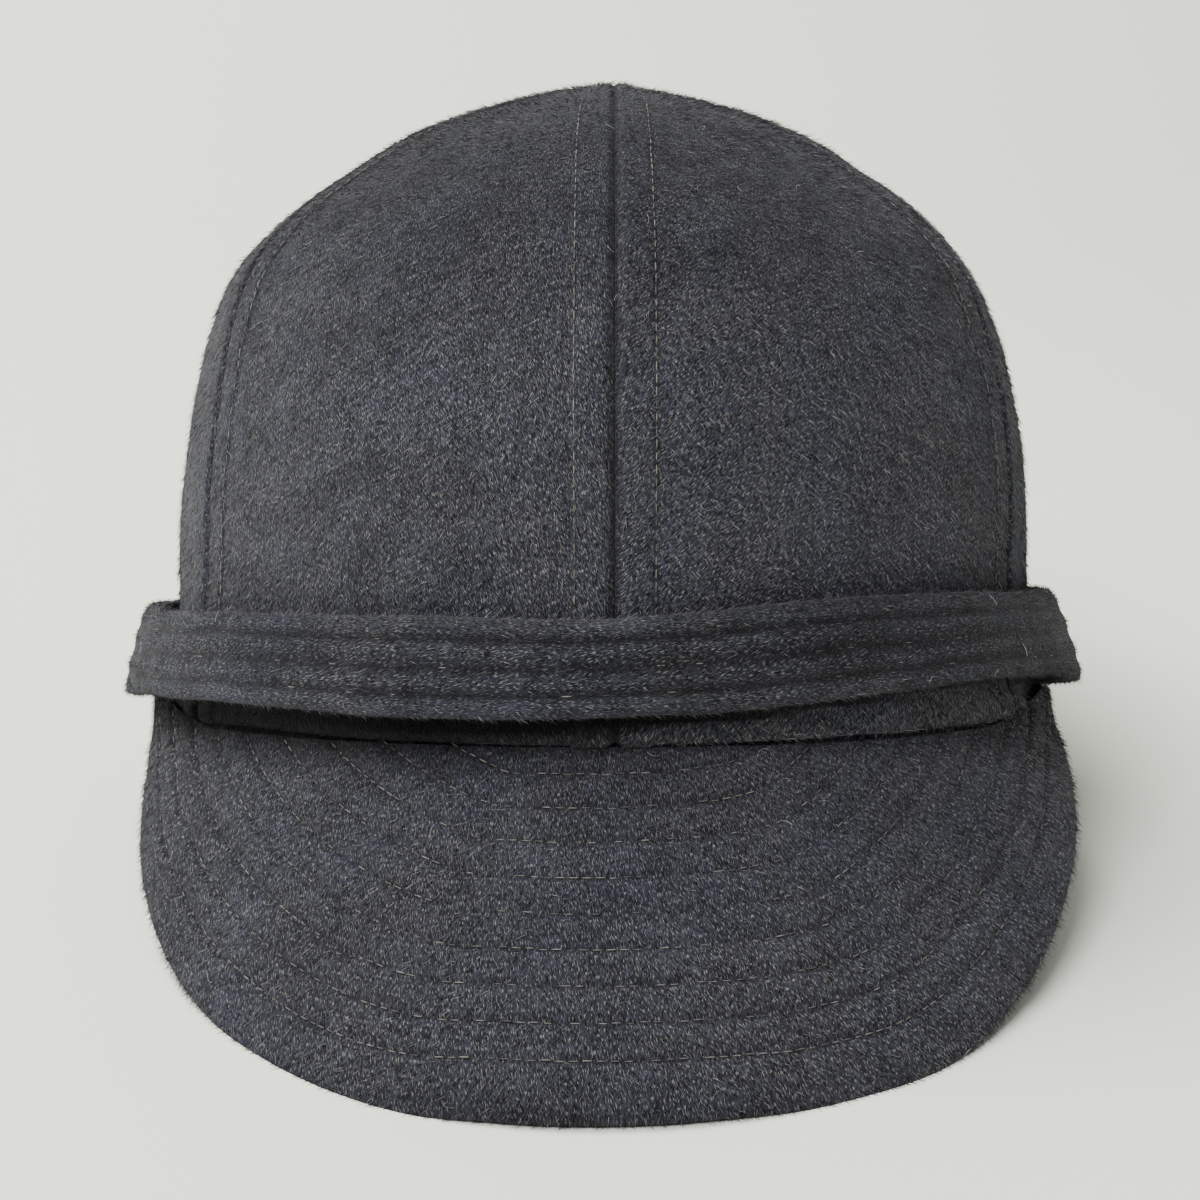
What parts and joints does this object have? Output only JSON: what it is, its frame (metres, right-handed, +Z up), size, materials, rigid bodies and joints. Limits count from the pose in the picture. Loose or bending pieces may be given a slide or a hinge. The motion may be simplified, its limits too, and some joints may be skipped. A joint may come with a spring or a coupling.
{
  "type": "work cap",
  "caption": "Wool work cap with a tall gored crown, a stitched ear band standing off its foot and a short soft stitched peak",
  "frame": {"origin": "middle of the bounding box's base, on the table that the cap rests on", "axes": "+Z up, -Y to the front, over the peak, +X to the right as seen from the front"},
  "size_m": [0.1892, 0.2636, 0.1458],
  "materials": {
    "wool": "napped charcoal wool cloth"
  },
  "bodies": {
    "root": {"crown_front_left": "wool", "crown_front_right": "wool", "crown_side_left": "wool", "crown_side_right": "wool", "crown_back_left": "wool", "crown_back_right": "wool", "ear_band": "wool", "peak_top": "wool", "peak_under": "wool"}
  },
  "joints": []
}
